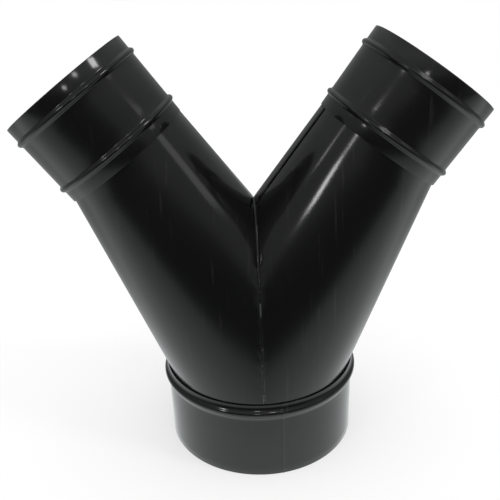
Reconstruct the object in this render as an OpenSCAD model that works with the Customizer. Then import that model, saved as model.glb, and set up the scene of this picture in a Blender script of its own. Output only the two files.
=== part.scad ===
// Sheet steel y-junction: one round collar below, two conical legs, one round collar on each leg.
// The origin is the centre of the main collar's lower rim. Z runs up the main axis,
// X runs across the two branches and the front is at -Y.

/* [Sheet and fits] */
// Thickness of the steel sheet
sheet_t = 1; // [0.7:0.1:1.3]
// Radial play where one sleeve slides inside another
sleeve_gap = 0.1; // [0.05:0.05:0.2]
// Width of the butt weld between the two legs
weld_w = 1.2; // [0.8:0.1:2]
// How far a weld stands above the sheet
weld_proud = 0.2; // [0.1:0.05:0.4]

/* [Main collar] */
// Outside diameter of the main collar
main_od = 150; // [140:1:165]
// Height of the main collar, from its lower rim to its lip
main_h = 63.5; // [58:0.5:90]
// Height of the plain lip above the main bead
main_lip = 0.3; // [0.1:0.1:4]
// How far the main bead stands above the collar
main_bead_proud = 3; // [2:0.1:3.5]
// Radius of the main bead's crest
main_bead_r = 3; // [2.5:0.1:3.5]
// Radius of the fillets at the foot of the main bead
main_bead_fillet = 6.5; // [4:0.1:8]
// Turn of the collar's butt seam from the front, towards +X
main_seam_turn = 10; // [0:1:40]

/* [Branch collars] */
// Outside diameter of each branch collar
branch_od = 100; // [90:1:105]
// Length of each branch collar, from its mouth to the end of its skirt
branch_len = 64; // [55:1:75]
// Distance from the mouth to the crest of the outer bead
mouth_bead_in = 12.5; // [8:0.5:20]
// Distance from the end of the skirt to the crest of the inner bead
skirt_bead_in = 11; // [9:0.5:14]
// How far the branch beads stand above the collar
branch_bead_proud = 2; // [1.5:0.1:2.5]
// Radius of the branch beads' crests
branch_bead_r = 2; // [1.8:0.1:2.5]
// Radius of the fillets at the foot of the branch beads
branch_bead_fillet = 1.6; // [1.2:0.1:2.2]

/* [Legs] */
// Angle between each branch and the main axis
branch_angle = 36; // [32:1:40]
// Height above the main collar's lip at which the branch axes meet
axis_rise = 44.5; // [38:0.5:52]
// Distance along a branch from where the axes meet to the mouth
branch_reach = 218; // [205:1:240]
// How much more than the branch the leg's inner line leans
inner_flare = 1.1; // [0:0.1:2]
// Height of the leg's round foot that shows above the lip
foot_rise = 1.5; // [1:0.1:3]
// Height at which the leg's foot ends above the lower edge of the main bead's groove
foot_seat = 0.8; // [0.5:0.1:1.5]
// Width of the lap where the rolled leg overlaps itself
lap_w = 8.5; // [5:0.5:12]
// Width over which the outer layer of the lap settles back
lap_settle = 12; // [8:1:16]
// Turn of the right lap's free edge from the leg's inner line, towards the front
right_lap_turn = 8; // [4:1:40]
// Turn of the left lap's free edge from the leg's inner line, towards the back
left_lap_turn = 28; // [4:1:40]

/* [Hidden] */
$fn = 96;

main_r = main_od / 2;
branch_r = branch_od / 2;
foot_r = main_r - sheet_t - sleeve_gap;
neck_r = branch_r - sheet_t - sleeve_gap;

// Steps along the arcs of a rolled bead
arc_steps = 6;
// How deep the strip of a collar's seam reaches into its wall
seam_inset = sheet_t / 2;
// Turns about an upright axis at which the front and the back lie
front_turn = -90;
back_turn = 90;

// Heights on the main axis
main_half_bead = half_bead(main_bead_r, main_bead_fillet, main_bead_proud);
main_bead_z = main_h - main_lip - main_half_bead;
foot_top = main_h + foot_rise;
foot_end = main_bead_z - main_half_bead + foot_seat;
axes_z = main_h + axis_rise;

// Places along a branch, measured back from its mouth
end_play = 0.3;
loft_in = branch_len + end_play;
branch_half_bead = half_bead(branch_bead_r, branch_bead_fillet, branch_bead_proud);
neck_in = branch_len - skirt_bead_in + branch_half_bead + end_play;

// Directions of the right branch: along it, and across it towards the outer side
along = [sin(branch_angle), 0, cos(branch_angle)];
across = [cos(branch_angle), 0, -sin(branch_angle)];

// The leg's inner line, run down past the mitre to the height of the foot
inner_lean = branch_angle + inner_flare;
inner_top = branch_centre(loft_in) - neck_r * across;
inner_run = tan(inner_lean) * (inner_top[2] - foot_top) - inner_top[0];

// Each leg is cut here, half a weld from the middle plane
mitre_x = weld_w / 2;
foot_half = acos(mitre_x / foot_r);
foot_steps = 60;
mitre_steps = 22;
loft_parts = [0.25, 0.5, 0.75, 1];

// The lap: its widths as turns about the branch
lap_deg = lap_w / neck_r * 180 / PI;
settle_deg = lap_settle / neck_r * 180 / PI;
edge_deg = 0.3;
settle_steps = 6;
lap_steps = 4;

// Tack spots on the weld, as heights above the main collar's lip
tack_heights = [14, 33, 72, 113];
tack_r = 0.9;

steel_black = "#1b1c1e";
weld_black = "#2b2c2e";

function reversed(list) = [for (i = [len(list) - 1:-1:0]) list[i]];

// Half the width of a rolled bead: its crest arc blends into a fillet on each side
function half_bead(crest, fillet, proud) = sqrt(pow(crest + fillet, 2) - pow(crest + fillet - proud, 2));

function arc(centre, radius, from, to) =
    [for (i = [0:arc_steps]) centre + radius * [cos(from + (to - from) * i / arc_steps),
                                                sin(from + (to - from) * i / arc_steps)]];

// The line of a bead, going up the outside of a wall of radius r
function bead_line(r, z, crest, fillet, proud) =
    let (reach = half_bead(crest, fillet, proud),
         lean = acos((crest + fillet - proud) / (crest + fillet)))
    concat(arc([r + fillet, z - reach], fillet, 180, 180 - lean),
           arc([r + proud - crest, z], crest, -lean, lean),
           arc([r + fillet, z + reach], fillet, 180 + lean, 180));

// One side of a collar's wall, moved outwards by shift, so that its arcs stay parallel
function wall_line(r, h, beads, crest, fillet, proud, shift) =
    concat([[r + shift, 0]],
           [for (z = beads) each bead_line(r + shift, z, crest + shift, fillet - shift, proud)],
           [[r + shift, h]]);

// A rolled collar standing on its lower rim, with its beads and one butt seam
module collar(r, h, beads, crest, fillet, proud, seam_turn) {
    rotate_extrude()
        polygon(concat(wall_line(r, h, beads, crest, fillet, proud, 0),
                       reversed(wall_line(r, h, beads, crest, fillet, proud, -sheet_t))));
    seam_deg = weld_w / r * 180 / PI;
    rotate([0, 0, seam_turn - seam_deg / 2])
        rotate_extrude(angle = seam_deg)
            polygon(concat(wall_line(r, h, beads, crest, fillet, proud, weld_proud),
                           reversed(wall_line(r, h, beads, crest, fillet, proud, -seam_inset))));
}

module main_collar() {
    color(steel_black)
        collar(main_r, main_h, [main_bead_z],
               main_bead_r, main_bead_fillet, main_bead_proud, front_turn + main_seam_turn);
}

// The right branch collar; its seam is at the back
module branch_collar() {
    translate([0, 0, axes_z])
        rotate([0, branch_angle, 0])
            translate([0, 0, branch_reach - branch_len])
                collar(branch_r, branch_len, [skirt_bead_in, branch_len - mouth_bead_in],
                       branch_bead_r, branch_bead_fillet, branch_bead_proud, back_turn);
}

module right_branch_collar() {
    color(steel_black) branch_collar();
}

module left_branch_collar() {
    color(steel_black) mirror([1, 0, 0]) branch_collar();
}

// A leg is a loft of straight lines. They run from the round neck to the half round foot
// on the outer side, and to the mitre plane on the inner side. Each column of points is
// [turn about the branch, lift of the outside, lift of the inside, ends on the foot].
function leg_columns(lap_turn) =
    let (lap_edge = 180 + lap_turn,
         lap_start = lap_edge - lap_deg,
         settle_start = lap_start - settle_deg)
    concat(
        [for (i = [0:foot_steps]) [foot_half * (2 * i / foot_steps - 1), 0, 0, true]],
        [for (i = [1:mitre_steps])
            [foot_half + (settle_start - foot_half) * i / (mitre_steps + 1), 0, 0, false]],
        [for (i = [0:settle_steps])
            let (lift = sheet_t * (1 - cos(180 * i / settle_steps)) / 2)
            [settle_start + (settle_deg - edge_deg) * i / settle_steps, lift, lift, false]],
        [for (i = [0:lap_steps]) [lap_start + (lap_deg - edge_deg) * i / lap_steps, sheet_t, 0, false]],
        [for (i = [0:mitre_steps - 1])
            [lap_edge + (360 - foot_half - lap_edge) * i / mitre_steps, 0, 0, false]]);
column_count = len(leg_columns(0));

function branch_centre(back) = [0, 0, axes_z] + (branch_reach - back) * along;

function neck_point(turn, r, back) = branch_centre(back) + r * (cos(turn) * across + [0, sin(turn), 0]);

// Where a column's line meets the height of the foot; past the mitre it is only a guide
function guide_point(turn, r, run) =
    cos(turn) > 0 ? [r * cos(turn), r * sin(turn), foot_top] : [run * cos(turn), r * sin(turn), foot_top];

// The lower end of a column's line: on the foot's edge, or on the mitre plane
function loft_end(column, r, run, neck) =
    let (guide = guide_point(column[0], r, run))
    column[3] ? [max(guide[0], mitre_x), guide[1], guide[2]]
              : neck + (guide - neck) * (neck[0] - mitre_x) / (neck[0] - guide[0]);

// All points of one side of the sheet, row by row; inset is 0 outside and sheet_t inside
function leg_side(columns, inset, lift_index) =
    let (r = foot_r - inset,
         run = inner_run - inset / cos(inner_lean),
         starts = [for (c = columns) neck_point(c[0], neck_r - inset + c[lift_index], loft_in)],
         ends = [for (i = [0:column_count - 1])
             let (lift = columns[i][lift_index])
             loft_end(columns[i], r + lift, run + lift / cos(inner_lean), starts[i])])
    concat([for (c = columns) neck_point(c[0], neck_r - inset, neck_in)],
           [for (c = columns) neck_point(c[0], neck_r - inset, loft_in - end_play / 2)],
           starts,
           [for (k = loft_parts, i = [0:column_count - 1]) starts[i] + (ends[i] - starts[i]) * k],
           [for (i = [0:foot_steps]) [ends[i][0], ends[i][1], foot_end]]);

leg_rows = 3 + len(loft_parts);
side_count = leg_rows * column_count + foot_steps + 1;

// Index of a point: side 0 is the outside, side 1 the inside; columns close in a ring
function at(side, row, column) = side * side_count + row * column_count + column % column_count;

module leg(lap_turn) {
    last = leg_rows - 1;
    columns = leg_columns(lap_turn);
    points = concat(leg_side(columns, 0, 1), leg_side(columns, sheet_t, 2));
    skin = [for (side = [0, 1], row = [0:last - 1], i = [0:column_count - 1])
        let (quad = [at(side, row, i), at(side, row, i + 1),
                     at(side, row + 1, i + 1), at(side, row + 1, i)])
        side == 0 ? quad : reversed(quad)];
    foot_skin = [for (side = [0, 1], i = [0:foot_steps - 1])
        let (quad = [at(side, last, i), at(side, last, i + 1),
                     at(side, leg_rows, 0) + i + 1, at(side, leg_rows, 0) + i])
        side == 0 ? quad : reversed(quad)];
    neck_rim = [for (i = [0:column_count - 1])
        [at(0, 0, i + 1), at(0, 0, i), at(1, 0, i), at(1, 0, i + 1)]];
    mitre_rim = [for (i = [foot_steps:column_count - 1])
        [at(0, last, i), at(0, last, i + 1), at(1, last, i + 1), at(1, last, i)]];
    foot_rim = [for (i = [0:foot_steps - 1])
        [at(0, leg_rows, 0) + i, at(0, leg_rows, 0) + i + 1,
         at(1, leg_rows, 0) + i + 1, at(1, leg_rows, 0) + i]];
    foot_sides = [
        [at(0, last, 0), at(0, leg_rows, 0), at(1, leg_rows, 0), at(1, last, 0)],
        [at(0, leg_rows, 0) + foot_steps, at(0, last, foot_steps),
         at(1, last, foot_steps), at(1, leg_rows, 0) + foot_steps]];
    polyhedron(points, concat(skin, foot_skin, neck_rim, mitre_rim, foot_rim, foot_sides));
}

module right_leg() {
    color(steel_black) leg(right_lap_turn);
}

module left_leg() {
    color(steel_black) rotate([0, 0, 180]) leg(left_lap_turn);
}

// The mitre line in the plane between the legs, as [y, z] points.
// It goes from the back over the crotch to the front.
function mitre_line(inset) =
    [for (i = [0:2 * mitre_steps])
        let (turn = foot_half + 2 * (180 - foot_half) * i / (2 * mitre_steps),
             neck = neck_point(turn, neck_r - inset, loft_in),
             end = loft_end([turn, 0, 0, i % (2 * mitre_steps) == 0], foot_r - inset,
                            inner_run - inset / cos(inner_lean), neck))
        [end[1], end[2]]];

// A point on the line, moved away from the middle of the opening below the crotch
function outwards(p, by) = p + by * (p - [0, foot_top]) / norm(p - [0, foot_top]);

module mitre_weld() {
    outer = mitre_line(0);
    inner = mitre_line(sheet_t);
    last = len(outer) - 1;
    free = [for (p = outer) outwards(p, weld_proud)];
    // The front half of the line: how far forward it lies at each height, from the foot up
    front = [for (i = [last:-1:mitre_steps]) [outer[i][1], -outer[i][0]]];
    color(weld_black)
        rotate([90, 0, 90])
            linear_extrude(weld_w, center = true) {
                polygon(concat([[outer[0][0], foot_end]], [outer[0]], free, [outer[last]],
                               [[outer[last][0], foot_end], [inner[last][0], foot_end]],
                               reversed(inner), [[inner[0][0], foot_end]]));
                for (rise = tack_heights, side = [-1, 1])
                    translate([side * lookup(main_h + rise, front), main_h + rise])
                        circle(tack_r);
            }
}

main_collar();
left_leg();
right_leg();
left_branch_collar();
right_branch_collar();
mitre_weld();
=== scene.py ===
import math
import bpy
from mathutils import Matrix, Vector


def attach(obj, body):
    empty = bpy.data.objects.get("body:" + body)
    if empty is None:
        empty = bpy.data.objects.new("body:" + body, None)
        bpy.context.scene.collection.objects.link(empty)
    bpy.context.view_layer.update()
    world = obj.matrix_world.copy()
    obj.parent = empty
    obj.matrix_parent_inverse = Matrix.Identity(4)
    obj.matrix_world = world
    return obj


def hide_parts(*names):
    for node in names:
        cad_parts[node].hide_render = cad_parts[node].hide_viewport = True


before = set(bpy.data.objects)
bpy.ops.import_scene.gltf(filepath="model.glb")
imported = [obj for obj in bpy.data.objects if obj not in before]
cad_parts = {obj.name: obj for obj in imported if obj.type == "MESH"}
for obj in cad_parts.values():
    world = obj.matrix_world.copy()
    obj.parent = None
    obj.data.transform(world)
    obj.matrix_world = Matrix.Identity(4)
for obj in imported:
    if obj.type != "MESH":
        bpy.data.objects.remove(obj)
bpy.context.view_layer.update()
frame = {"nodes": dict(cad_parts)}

# A y-junction of rolled sheet steel, painted gloss black. The dictionaries hold millimetres and degrees.
scene = bpy.context.scene
mm = 0.001
ringSides = 180  # two degrees a side, so that seams and laps fall on a line


# small helpers for working in edit mode

def makeActive(piece):
    if bpy.context.mode != "OBJECT":
        bpy.ops.object.mode_set(mode="OBJECT")
    bpy.ops.object.select_all(action="DESELECT")
    if piece:
        piece.select_set(True)
        bpy.context.view_layer.objects.active = piece


def editAll(piece):
    makeActive(piece)
    bpy.ops.object.mode_set(mode="EDIT")
    bpy.ops.mesh.select_mode(type="VERT")
    bpy.ops.mesh.select_all(action="SELECT")


def pick(piece, kind, test):
    # selects the vertices, edges or faces that pass the test, and stays in edit mode
    if bpy.context.mode != "EDIT_MESH":
        editAll(piece)
    bpy.ops.mesh.select_mode(type=kind)
    bpy.ops.mesh.select_all(action="DESELECT")
    bpy.ops.object.mode_set(mode="OBJECT")
    mesh = piece.data
    parts = {"VERT": mesh.vertices, "EDGE": mesh.edges, "FACE": mesh.polygons}[kind]
    for part in parts:
        part.select = test(part)
    found = sum(part.select for part in parts)
    bpy.ops.object.mode_set(mode="EDIT")
    return found


def ends(piece, edge):
    return [piece.data.vertices[i].co for i in edge.vertices]


def turnPicked(angle, axis, centre):
    # with no window this operator turns the other way
    bpy.ops.transform.rotate(value=-angle, orient_axis=axis, orient_type="GLOBAL", center_override=centre)


def mergeAndFaceOut(piece):
    editAll(piece)
    bpy.ops.mesh.remove_doubles(threshold=0.000004)
    bpy.ops.mesh.normals_make_consistent(inside=False)
    bpy.ops.object.mode_set(mode="OBJECT")


def addModifier(piece, kind, **settings):
    makeActive(piece)
    modifier = piece.modifiers.new(kind.title(), kind)
    for key, value in settings.items():
        setattr(modifier, key, value)
    bpy.ops.object.modifier_apply(modifier=modifier.name)


def smooth(piece, degrees):
    makeActive(piece)
    bpy.ops.object.shade_smooth_by_angle(angle=math.radians(degrees))


def standIn(piece, node):
    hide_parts(node)
    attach(piece, "root")


# sheet metal: the profile of a rolled bead as (radius, height) points, and a ring extruded along it

sheet = {"thickness": 1.0, "rim": 0.2}
buttSeam = {"width": 1.5, "proud": 0.22, "crown": [(-1, 0), (-0.55, 0.7), (0, 1), (0.55, 0.7), (1, 0)]}


def beadArc(centre, radius, start, end, steps):
    points = []
    for i in range(steps + 1):
        angle = start + (end - start) * i / steps
        points.append((centre[0] + radius * math.cos(angle), centre[1] + radius * math.sin(angle)))
    return points


def halfBead(bead):
    both = bead["crest"] + bead["fillet"]
    return math.sqrt(both ** 2 - (both - bead["proud"]) ** 2)


def beadLine(radius, height, bead):
    crest, fillet, proud = bead["crest"], bead["fillet"], bead["proud"]
    reach = halfBead(bead)
    lean = math.acos((crest + fillet - proud) / (crest + fillet))
    lower = beadArc((radius + fillet, height - reach), fillet, math.pi, math.pi - lean, bead["steps"])
    top = beadArc((radius + proud - crest, height), crest, -lean, lean, bead["steps"] + 2)
    upper = beadArc((radius + fillet, height + reach), fillet, math.pi + lean, math.pi, bead["steps"])
    return lower[:-1] + top + upper[1:]


def rolledCollar(name, radius, height, beadHeights, bead, seamTurn):
    profile = [(radius, 0)]
    for beadHeight in beadHeights:
        line = beadLine(radius, beadHeight, bead)
        gap = line[0][1] - profile[-1][1]
        rows = max(1, round(gap / 6))
        profile += [(radius, profile[-1][1] + gap * i / rows) for i in range(1, rows)]
        profile += line
    profile.append((radius, height))
    makeActive(None)
    bpy.ops.mesh.primitive_circle_add(vertices=ringSides, radius=radius * mm, fill_type="NOTHING")
    piece = bpy.context.object
    piece.name = name
    editAll(piece)
    for (r0, z0), (r1, z1) in zip(profile, profile[1:]):
        bpy.ops.mesh.extrude_region_move(TRANSFORM_OT_translate={"value": (0, 0, (z1 - z0) * mm)})
        if abs(r1 - r0) > 1e-9:
            bpy.ops.transform.resize(value=(r1 / r0, r1 / r0, 1), center_override=(0, 0, 0))
    mergeAndFaceOut(piece)
    # the butt seam: upright cuts, with the strips between them raised to a low crown
    outwards = Vector((math.cos(seamTurn), math.sin(seamTurn), 0))
    sideways = Vector((-math.sin(seamTurn), math.cos(seamTurn), 0))
    near = math.tau * radius / ringSides * 2.2 * mm
    for place, rise in buttSeam["crown"]:
        pick(piece, "FACE", lambda f: abs(f.center.dot(sideways)) < near and f.center.dot(outwards) > 0)
        at = sideways * (place * buttSeam["width"] / 2 * mm)
        bpy.ops.mesh.bisect(plane_co=tuple(at), plane_no=tuple(sideways))
    for place, rise in buttSeam["crown"]:
        if rise:
            at = place * buttSeam["width"] / 2 * mm
            pick(piece, "VERT", lambda v: abs(v.co.dot(sideways) - at) < 1e-6 and v.co.dot(outwards) > 0)
            bpy.ops.transform.shrink_fatten(value=rise * buttSeam["proud"] * mm)
    bpy.ops.object.mode_set(mode="OBJECT")
    return piece


def thicken(piece):
    addModifier(piece, "SOLIDIFY", thickness=sheet["thickness"] * mm, offset=-1, use_even_offset=True)


def roundRims(piece):
    addModifier(piece, "BEVEL", width=sheet["rim"] * mm, segments=2, limit_method="ANGLE",
                angle_limit=math.radians(55), use_clamp_overlap=False)


# main collar, with one wide bead under its lip and a seam near the front

mainSizes = {"radius": 75, "height": 63.5, "lip": 0.3, "seamTurn": 10,
             "bead": {"crest": 3, "fillet": 6.5, "proud": 3, "steps": 7}}
mainBeadAt = mainSizes["height"] - mainSizes["lip"] - halfBead(mainSizes["bead"])
mainCollar = rolledCollar("mainCollar", mainSizes["radius"], mainSizes["height"], [mainBeadAt],
                          mainSizes["bead"], math.radians(mainSizes["seamTurn"] - 90))
thicken(mainCollar)
roundRims(mainCollar)
smooth(mainCollar, 40)
standIn(mainCollar, "main_collar")
print("main collar made")

# branch collars, each with two narrow beads and its seam at the back

branchSizes = {"radius": 50, "length": 64, "skirtBead": 11, "mouthBead": 51.5, "angle": 36,
               "axesMeet": 108, "reach": 218,
               "bead": {"crest": 2, "fillet": 1.6, "proud": 2, "steps": 6}}
branchLean = math.radians(branchSizes["angle"])


def branchCollar(name, side):
    piece = rolledCollar(name, branchSizes["radius"], branchSizes["length"],
                         [branchSizes["skirtBead"], branchSizes["mouthBead"]], branchSizes["bead"],
                         math.radians(90))
    thicken(piece)
    roundRims(piece)
    editAll(piece)
    bpy.ops.transform.translate(value=(0, 0, (branchSizes["reach"] - branchSizes["length"]) * mm))
    turnPicked(side * branchLean, "Y", (0, 0, 0))
    bpy.ops.transform.translate(value=(0, 0, branchSizes["axesMeet"] * mm))
    smooth(piece, 40)
    return piece


rightCollar = branchCollar("rightCollar", 1)
leftCollar = branchCollar("leftCollar", -1)
standIn(rightCollar, "right_branch_collar")
standIn(leftCollar, "left_branch_collar")
print("branch collars made")

# legs: each a sheet of straight lines from the round neck to the half round foot and the mitre

legSizes = {"neckRadius": 48.9, "footRadius": 73.9, "footTop": 65, "footEnd": 50.14, "loftIn": 64.3,
            "neckIn": 56.525, "endPlay": 0.15, "innerFlare": 1.1, "mitre": 0.6, "spare": 2, "rows": 16,
            "kink": 1.2, "lapLift": 1.02, "lapTurn": 10, "settleTurn": 14, "rightEdge": 188, "leftEdge": 208}
along = Vector((math.sin(branchLean), 0, math.cos(branchLean)))
crossing = Vector((math.cos(branchLean), 0, -math.sin(branchLean)))
neckCentre = Vector((0, 0, branchSizes["axesMeet"])) + (branchSizes["reach"] - legSizes["loftIn"]) * along
innerTop = neckCentre - legSizes["neckRadius"] * crossing
innerLean = branchLean + math.radians(legSizes["innerFlare"])
innerRun = math.tan(innerLean) * (innerTop.z - legSizes["footTop"]) - innerTop.x


def turnOf(vertex):
    # the turn about the branch of the line that a vertex lies on
    return vertex.groups[0].weight * 360 if vertex.groups else -1


def legSurface(name):
    s = legSizes
    makeActive(None)
    bpy.ops.mesh.primitive_circle_add(vertices=ringSides, radius=s["neckRadius"] * mm, fill_type="NOTHING")
    piece = bpy.context.object
    piece.name = name
    # the turn is kept as a weight, which the later cuts carry on
    turns = piece.vertex_groups.new(name="turn")
    for v in piece.data.vertices:
        turns.add([v.index], (math.degrees(math.atan2(v.co.y, v.co.x)) % 360) / 360, "REPLACE")
    editAll(piece)
    turnPicked(branchLean, "Y", (0, 0, 0))
    bpy.ops.transform.translate(value=tuple(neckCentre * mm))
    # the lower ring lies flat at the top of the foot, and is drawn out on the inner side
    bpy.ops.mesh.extrude_region_move(TRANSFORM_OT_translate={"value": (0, 0, 0)})
    turnPicked(-branchLean, "Y", tuple(neckCentre * mm))
    grow = s["footRadius"] / s["neckRadius"]
    bpy.ops.transform.resize(value=(grow, grow, 1), center_override=tuple(neckCentre * mm))
    bpy.ops.transform.translate(value=tuple((Vector((0, 0, s["footTop"])) - neckCentre) * mm))
    low = (s["footTop"] + 0.01) * mm
    pick(piece, "VERT", lambda v: v.co.z < low and v.co.x < -1e-6)
    bpy.ops.transform.resize(value=(innerRun / s["footRadius"], 1, 1), center_override=(0, 0, s["footTop"] * mm))
    pick(piece, "EDGE", lambda e: (min(p.z for p in ends(piece, e)) < low < max(p.z for p in ends(piece, e))))
    bpy.ops.mesh.subdivide(number_cuts=s["rows"] - 1)
    # the neck goes up into the skirt of the branch collar
    top = neckCentre.dot(along) * mm
    pick(piece, "EDGE", lambda e: all(abs(p.dot(along) - top) < 1e-6 for p in ends(piece, e)))
    for run in (s["endPlay"], s["loftIn"] - s["neckIn"] - s["endPlay"]):
        bpy.ops.mesh.extrude_region_move(TRANSFORM_OT_translate={"value": tuple(along * run * mm)})
    mergeAndFaceOut(piece)
    return piece


def layLap(piece, freeEdge):
    # the outer layer is copied off the sheet and lifted, and its root settles back into the sheet
    s = legSizes
    root = freeEdge - s["lapTurn"]
    settled = root - s["settleTurn"]
    firstNew = len(piece.data.vertices)
    top = neckCentre.dot(along) * mm + 1e-6

    def spans(face, start, end):
        turns = [turnOf(piece.data.vertices[i]) for i in face.vertices]
        return min(turns) > start - 0.5 and max(turns) < end + 0.5 and face.center.dot(along) < top

    pick(piece, "FACE", lambda f: spans(f, settled, freeEdge))
    bpy.ops.mesh.duplicate()
    for turn in range(settled + 2, freeEdge + 1, 2):
        share = min(1, (turn - settled) / s["settleTurn"])
        pick(piece, "VERT", lambda v: v.index >= firstNew and abs(turnOf(v) - turn) < 0.5)
        bpy.ops.transform.shrink_fatten(value=s["lapLift"] * (1 - math.cos(math.pi * share)) / 2 * mm)
    pick(piece, "FACE", lambda f: max(f.vertices) < firstNew and spans(f, settled, root))
    bpy.ops.mesh.delete(type="FACE")
    mergeAndFaceOut(piece)


def leg(name, freeEdge):
    s = legSizes
    piece = legSurface(name)
    layLap(piece, freeEdge)
    editAll(piece)
    bpy.ops.mesh.bisect(plane_co=(-s["spare"] * mm, 0, 0), plane_no=(1, 0, 0), clear_inner=True)
    onFoot = lambda e: all(abs(p.z - s["footTop"] * mm) < 1e-6 for p in ends(piece, e))
    pick(piece, "EDGE", onFoot)
    bpy.ops.mesh.extrude_region_move(TRANSFORM_OT_translate={"value": (0, 0, (s["footEnd"] - s["footTop"]) * mm)})
    pick(piece, "EDGE", onFoot)
    bpy.ops.mesh.bevel(offset=s["kink"] * mm, segments=3, affect="EDGES", clamp_overlap=False)
    mergeAndFaceOut(piece)
    thicken(piece)
    # the mitre is cut through the finished sheet, so that its edge is flat
    editAll(piece)
    bpy.ops.mesh.bisect(plane_co=(s["mitre"] * mm, 0, 0), plane_no=(1, 0, 0), clear_inner=True, use_fill=True)
    roundRims(piece)
    return piece


rightLeg = leg("rightLeg", legSizes["rightEdge"])
smooth(rightLeg, 40)
leftLeg = leg("leftLeg", legSizes["leftEdge"])
editAll(leftLeg)
turnPicked(math.pi, "Z", (0, 0, 0))
smooth(leftLeg, 40)
standIn(rightLeg, "right_leg")
standIn(leftLeg, "left_leg")
print("legs made")

# mitre weld: the line that the mitre cut leaves, extruded across the gap and raised to a crown

weldSizes = {"width": 1.2, "strips": 12, "crown": 0.3, "ripple": 0.18, "grain": 2.4}
mitreWeld = legSurface("mitreWeld")
editAll(mitreWeld)
bpy.ops.mesh.bisect(plane_co=(legSizes["mitre"] * mm, 0, 0), plane_no=(1, 0, 0), clear_inner=True)
pick(mitreWeld, "VERT", lambda v: abs(v.co.x - legSizes["mitre"] * mm) > 1e-6)
bpy.ops.mesh.delete(type="VERT")
pick(mitreWeld, "VERT", lambda v: abs(v.co.z - legSizes["footTop"] * mm) < 1e-6)
bpy.ops.mesh.extrude_vertices_move(
    TRANSFORM_OT_translate={"value": (0, 0, (legSizes["footEnd"] - legSizes["footTop"]) * mm)})
editAll(mitreWeld)
bpy.ops.mesh.subdivide(number_cuts=5)
for i in range(weldSizes["strips"]):
    bpy.ops.mesh.extrude_region_move(
        TRANSFORM_OT_translate={"value": (-weldSizes["width"] / weldSizes["strips"] * mm, 0, 0)})
mergeAndFaceOut(mitreWeld)
for i in range(1, weldSizes["strips"]):
    place = (0.5 - i / weldSizes["strips"]) * weldSizes["width"]
    pick(mitreWeld, "VERT", lambda v: abs(v.co.x - place * mm) < 1e-6)
    bpy.ops.transform.shrink_fatten(value=weldSizes["crown"] * (1 - (2 * place / weldSizes["width"]) ** 2) * mm)
bpy.ops.object.mode_set(mode="OBJECT")
grain = bpy.data.textures.new("weldGrain", "CLOUDS")
grain.noise_scale = weldSizes["grain"] * mm
addModifier(mitreWeld, "DISPLACE", texture=grain, strength=weldSizes["ripple"] * mm, mid_level=0.5)
thicken(mitreWeld)
smooth(mitreWeld, 50)
standIn(mitreWeld, "mitre_weld")
print("weld made")

# finishes


class Field:
    # a shader value, whose sums and products add Math nodes
    def __init__(self, tree, socket):
        self.tree, self.socket = tree, socket

    def maths(self, operation, first, second):
        node = self.tree.nodes.new("ShaderNodeMath")
        node.operation = operation
        for slot, value in zip(node.inputs, (first, second)):
            if isinstance(value, Field):
                self.tree.links.new(value.socket, slot)
            else:
                slot.default_value = value
        return Field(self.tree, node.outputs[0])

    def __add__(self, other):
        return self.maths("ADD", self, other)

    def __radd__(self, other):
        return self.maths("ADD", other, self)

    def __sub__(self, other):
        return self.maths("SUBTRACT", self, other)

    def __rsub__(self, other):
        return self.maths("SUBTRACT", other, self)

    def __mul__(self, other):
        return self.maths("MULTIPLY", self, other)

    def __rmul__(self, other):
        return self.maths("MULTIPLY", other, self)


class Finish:
    def __init__(self, name, tree=None):
        if tree is None:
            self.material = bpy.data.materials.new(name)
            self.material.use_nodes = True
            tree = self.material.node_tree
        self.tree = tree
        self.tree.nodes.clear()

    def node(self, kind, settings, sockets, output=0):
        made = self.tree.nodes.new("ShaderNode" + kind)
        for key, value in settings.items():
            if key == "stops":
                ramp = made.color_ramp
                while len(ramp.elements) < len(value):
                    ramp.elements.new(0.5)
                for element, (place, level) in zip(ramp.elements, value):
                    element.position = place
                    element.color = (level, level, level, 1)
            else:
                setattr(made, key, value)
        for key, value in sockets.items():
            if isinstance(value, Field):
                self.tree.links.new(value.socket, made.inputs[key])
            else:
                made.inputs[key].default_value = value
        return Field(self.tree, made.outputs[output]) if len(made.outputs) else made


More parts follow.
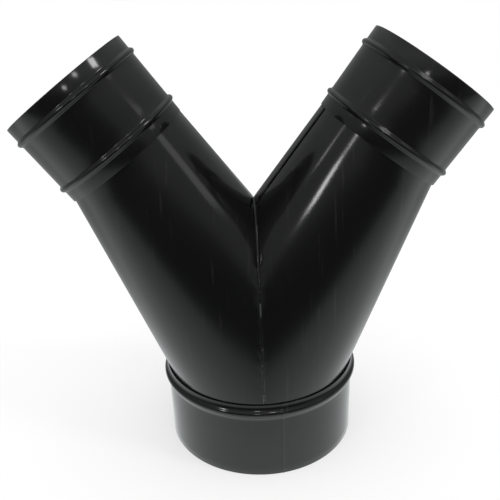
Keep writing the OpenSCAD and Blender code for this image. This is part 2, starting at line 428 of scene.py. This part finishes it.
def glossPaint(name, look):
    f = Finish(name)
    place = f.node("TexCoord", {}, {}, "Object")
    # wide, soft variation of the coat
    broad = f.node("TexNoise", {}, {"Vector": place, "Scale": 9, "Detail": 3, "Roughness": 0.55})
    fine = f.node("TexNoise", {}, {"Vector": place, "Scale": 70, "Detail": 4, "Roughness": 0.6})
    peel = f.node("TexNoise", {}, {"Vector": place, "Scale": look["peelScale"], "Detail": 2, "Roughness": 0.5})
    dust = f.node("TexVoronoi", {"feature": "F1"}, {"Vector": place, "Scale": 260, "Randomness": 1})
    speck = f.node("ValToRGB", {"stops": [(0.035, 1), (0.06, 0)]}, {"Fac": dust})
    sparse = f.node("ValToRGB", {"stops": [(0.56, 0), (0.62, 1)]}, {"Fac": fine})
    specks = speck * sparse
    # faint rubbing marks, drawn out along one way
    rubWay = f.node("Mapping", {"vector_type": "POINT"},
                    {"Vector": place, "Rotation": (0.3, 0.5, 0.2), "Scale": (400, 30, 22)})
    rub = f.node("TexNoise", {}, {"Vector": rubWay, "Scale": 1, "Detail": 3, "Roughness": 0.6})
    rubs = f.node("ValToRGB", {"stops": [(0.62, 0), (0.78, 1)]}, {"Fac": rub})
    # worn to bare metal on the sharpest rims
    sharp = f.node("NewGeometry", {}, {}, "Pointiness")
    rims = f.node("ValToRGB", {"stops": [(look["rimFrom"], 0), (look["rimFrom"] + 0.05, 1)]}, {"Fac": sharp})
    worn = rims * f.node("ValToRGB", {"stops": [(0.5, 0), (0.7, 1)]}, {"Fac": fine})
    coat = f.node("Mix", {"data_type": "RGBA"},
                  {0: broad, 6: look["deep"], 7: look["pale"]}, 2)
    dusty = f.node("Mix", {"data_type": "RGBA"}, {0: specks * 0.35 + rubs * 0.06, 6: coat, 7: look["dust"]}, 2)
    colour = f.node("Mix", {"data_type": "RGBA"}, {0: worn * look["wear"], 6: dusty, 7: look["metal"]}, 2)
    rough = look["rough"] + broad * 0.05 + fine * 0.02 + rubs * 0.05 + specks * 0.2 + worn * 0.15
    relief = peel * look["peel"] + fine * 0.3 + specks * 0.4
    bump = f.node("Bump", {}, {"Height": relief, "Strength": look["bump"], "Distance": 0.0002})
    shader = f.node("BsdfPrincipled", {}, {"Base Color": colour, "Roughness": rough,
                                           "Metallic": worn * look["wear"], "Normal": bump, "IOR": 1.5})
    f.node("OutputMaterial", {}, {"Surface": shader})
    return f.material


paintLook = {"deep": (0.0030, 0.0031, 0.0033, 1), "pale": (0.0050, 0.0050, 0.0052, 1),
             "dust": (0.16, 0.155, 0.145, 1), "metal": (0.30, 0.29, 0.28, 1),
             "rough": 0.085, "peel": 1.0, "peelScale": 620, "bump": 0.05, "wear": 0.35, "rimFrom": 0.54}
weldLook = dict(paintLook, rough=0.16, peelScale=900, bump=0.2, wear=0.5)
blackPaint = glossPaint("blackPaint", paintLook)
weldPaint = glossPaint("weldPaint", weldLook)
for piece in (mainCollar, rightCollar, leftCollar, rightLeg, leftLeg):
    piece.data.materials.clear()
    piece.data.materials.append(blackPaint)
mitreWeld.data.materials.clear()
mitreWeld.data.materials.append(weldPaint)
for piece in list(frame["nodes"].values()) if isinstance(frame["nodes"], dict) else []:
    pass
print("finishes made")

# camera, at the place of the photograph's

cameraSizes = {"place": (-14.63, -444.31, 342.91), "yaw": 1.3096, "pitch": 23.0803, "roll": 2.1633, "lens": 45.06}
makeActive(None)
bpy.ops.object.camera_add()
camera = bpy.context.object
camera.data.lens = cameraSizes["lens"]
camera.data.sensor_width = 36
camera.data.clip_start = 0.01
camera.matrix_world = (Matrix.Translation(Vector(cameraSizes["place"]) * mm)
                       @ Matrix.Rotation(-math.radians(cameraSizes["yaw"]), 4, "Z")
                       @ Matrix.Rotation(math.radians(90 - cameraSizes["pitch"]), 4, "X")
                       @ Matrix.Rotation(-math.radians(cameraSizes["roll"]), 4, "Z"))
scene.camera = camera

# floor, and the soft white light all round

studio = {"floorHalf": 20, "floorColour": 0.5, "floorGlow": 0.5, "tentRadius": 1.6, "tentHeight": 0.2}
bpy.ops.mesh.primitive_plane_add(size=studio["floorHalf"] * 2)
floor = bpy.context.object
floor.name = "floor"
paleFloor = Finish("paleFloor")
matt = paleFloor.node("BsdfDiffuse", {}, {"Color": (studio["floorColour"],) * 3 + (1,)})
glow = paleFloor.node("Emission", {}, {"Color": (1, 1, 1, 1), "Strength": studio["floorGlow"]})
paleFloor.node("OutputMaterial", {}, {"Surface": paleFloor.node("AddShader", {}, {0: matt, 1: glow})})
floor.data.materials.append(paleFloor.material)

world = bpy.data.worlds.new("whiteRoom")
scene.world = world
world.use_nodes = True
room = Finish("whiteRoom", world.node_tree)
room.node("OutputWorld", {}, {"Surface": room.node("Background", {}, {"Color": (1, 1, 1, 1), "Strength": 1})})


# cards that only the gloss sees, which glow with painted reflections: a grey tent over the object, painted with
# the light of a dim room, and the lit table that it stands on, painted with its pool of light and the object's
# shadow

# a card glows with the painted light level that it is given, slightly tinted, and is hidden from the camera,
# diffuse light, shadows and transmission
def cardFor(card, finish, level, tint):
    colour = finish.node("Mix", {"data_type": "RGBA", "blend_type": "MIX"},
                         {0: level, 6: (0, 0, 0, 1), 7: tint}, 2)
    finish.node("OutputMaterial", {}, {"Surface": finish.node("Emission", {}, {"Color": colour, "Strength": 1.2})})
    card.data.materials.append(finish.material)
    card.visible_camera = card.visible_diffuse = card.visible_shadow = card.visible_transmission = False


def stopsOver(low, high, pairs):
    return [((place - low) / (high - low), level / 1.2) for place, level in pairs]


makeActive(None)
bpy.ops.mesh.primitive_uv_sphere_add(segments=48, ring_count=24, radius=studio["tentRadius"],
                                     location=(0, 0, studio["tentHeight"]))
tent = bpy.context.object
tent.name = "tent"
tentLook = Finish("tent")
tentPlace = tentLook.node("TexCoord", {}, {}, "Object")
tentWay = tentLook.node("VectorMath", {"operation": "NORMALIZE"}, {0: tentPlace})
split = tentLook.tree.nodes.new("ShaderNodeSeparateXYZ")
tentLook.tree.links.new(tentWay.socket, split.inputs[0])
wayX, wayY, wayZ = [Field(tentLook.tree, split.outputs[i]) for i in range(3)]
# painted reflection of the room on the tent: darkest low in front, brighter higher up, and lighter low at the
# sides than in front
frontRoomReflection = tentLook.node("ValToRGB", {"stops": stopsOver(0, 1, [(0, 0.03), (0.17, 0.06), (0.27, 0.14),
                          (0.36, 0.28), (0.5, 0.34), (0.64, 0.46), (0.77, 0.56), (0.88, 0.5), (1, 0.36)])},
                          {"Fac": wayZ})
sideRoomReflection = tentLook.node("ValToRGB", {"stops": stopsOver(0, 1, [(0, 0.2), (0.2, 0.28), (0.36, 0.31),
                         (0.5, 0.34), (0.64, 0.46), (0.77, 0.56), (0.88, 0.5), (1, 0.36)])}, {"Fac": wayZ})
facing = tentLook.node("ValToRGB", {"stops": [(0.5, 0), (0.75, 1)]}, {"Fac": 0 - wayY})
cardFor(tent, tentLook, frontRoomReflection * facing + sideRoomReflection * (1 - facing), (0.98, 1.0, 1.0, 1))

bpy.ops.mesh.primitive_plane_add(size=studio["tentRadius"] * 2, location=(0, 0, 0.001))
table = bpy.context.object
table.name = "table"
tableLook = Finish("table")
tablePlace = tableLook.node("TexCoord", {}, {}, "Object")
tableSplit = tableLook.tree.nodes.new("ShaderNodeSeparateXYZ")
tableLook.tree.links.new(tablePlace.socket, tableSplit.inputs[0])
tableY = Field(tableLook.tree, tableSplit.outputs[1])
# painted light and shade on the table card: a pool of light in front of and under the object, dimming far in
# front, and the object's painted shadow behind it
tableLightAndShadow = tableLook.node("ValToRGB", {"stops": stopsOver(-1.2, 0.6, [
    (-1.2, 0.03), (-0.75, 0.07), (-0.6, 0.16), (-0.5, 0.30), (-0.4, 0.48), (-0.3, 0.62), (-0.2, 0.80),
    (-0.1, 1.05), (0.0, 1.1), (0.05, 0.9), (0.1, 0.65), (0.2, 0.5), (0.3, 0.42), (0.6, 0.35)])},
    {"Fac": (tableY + 1.2) * (1 / 1.8)})
cardFor(table, tableLook, tableLightAndShadow, (0.96, 1.0, 1.0, 1))


def lampAt(name, azimuth, elevation, size, radiance, distance=1.2):
    # azimuth is counted from the front towards the right
    az, el = math.radians(azimuth), math.radians(elevation)
    way = Vector((math.sin(az) * math.cos(el), -math.cos(az) * math.cos(el), math.sin(el)))
    place = Vector((0, 0, 0.23)) + way * distance
    bpy.ops.object.light_add(type="AREA", location=place)
    lamp = bpy.context.object
    lamp.name = name
    lamp.data.shape = "RECTANGLE"
    lamp.data.size, lamp.data.size_y = size
    lamp.data.energy = radiance * math.pi * size[0] * size[1]
    lamp.rotation_euler = (-way).to_track_quat("-Z", "Y").to_euler()
    lamp.visible_camera = False
    return lamp


lampAt("frontLeftLamp", -45.5, 25, (0.10, 0.16), 14)
lampAt("leftLamp", -77.5, 34, (0.05, 0.08), 5)
lampAt("rightHighLamp", 58, 54, (0.2, 0.25), 12)
lampAt("frontHighLamp", 12, 40, (0.12, 0.12), 8)
lampAt("frontLamp", -6, 22, (0.1, 0.1), 8)
lampAt("rightSoftLamp", 74, 30, (0.25, 0.25), 0.9)
scene.view_settings.view_transform = "Standard"
print("studio set")
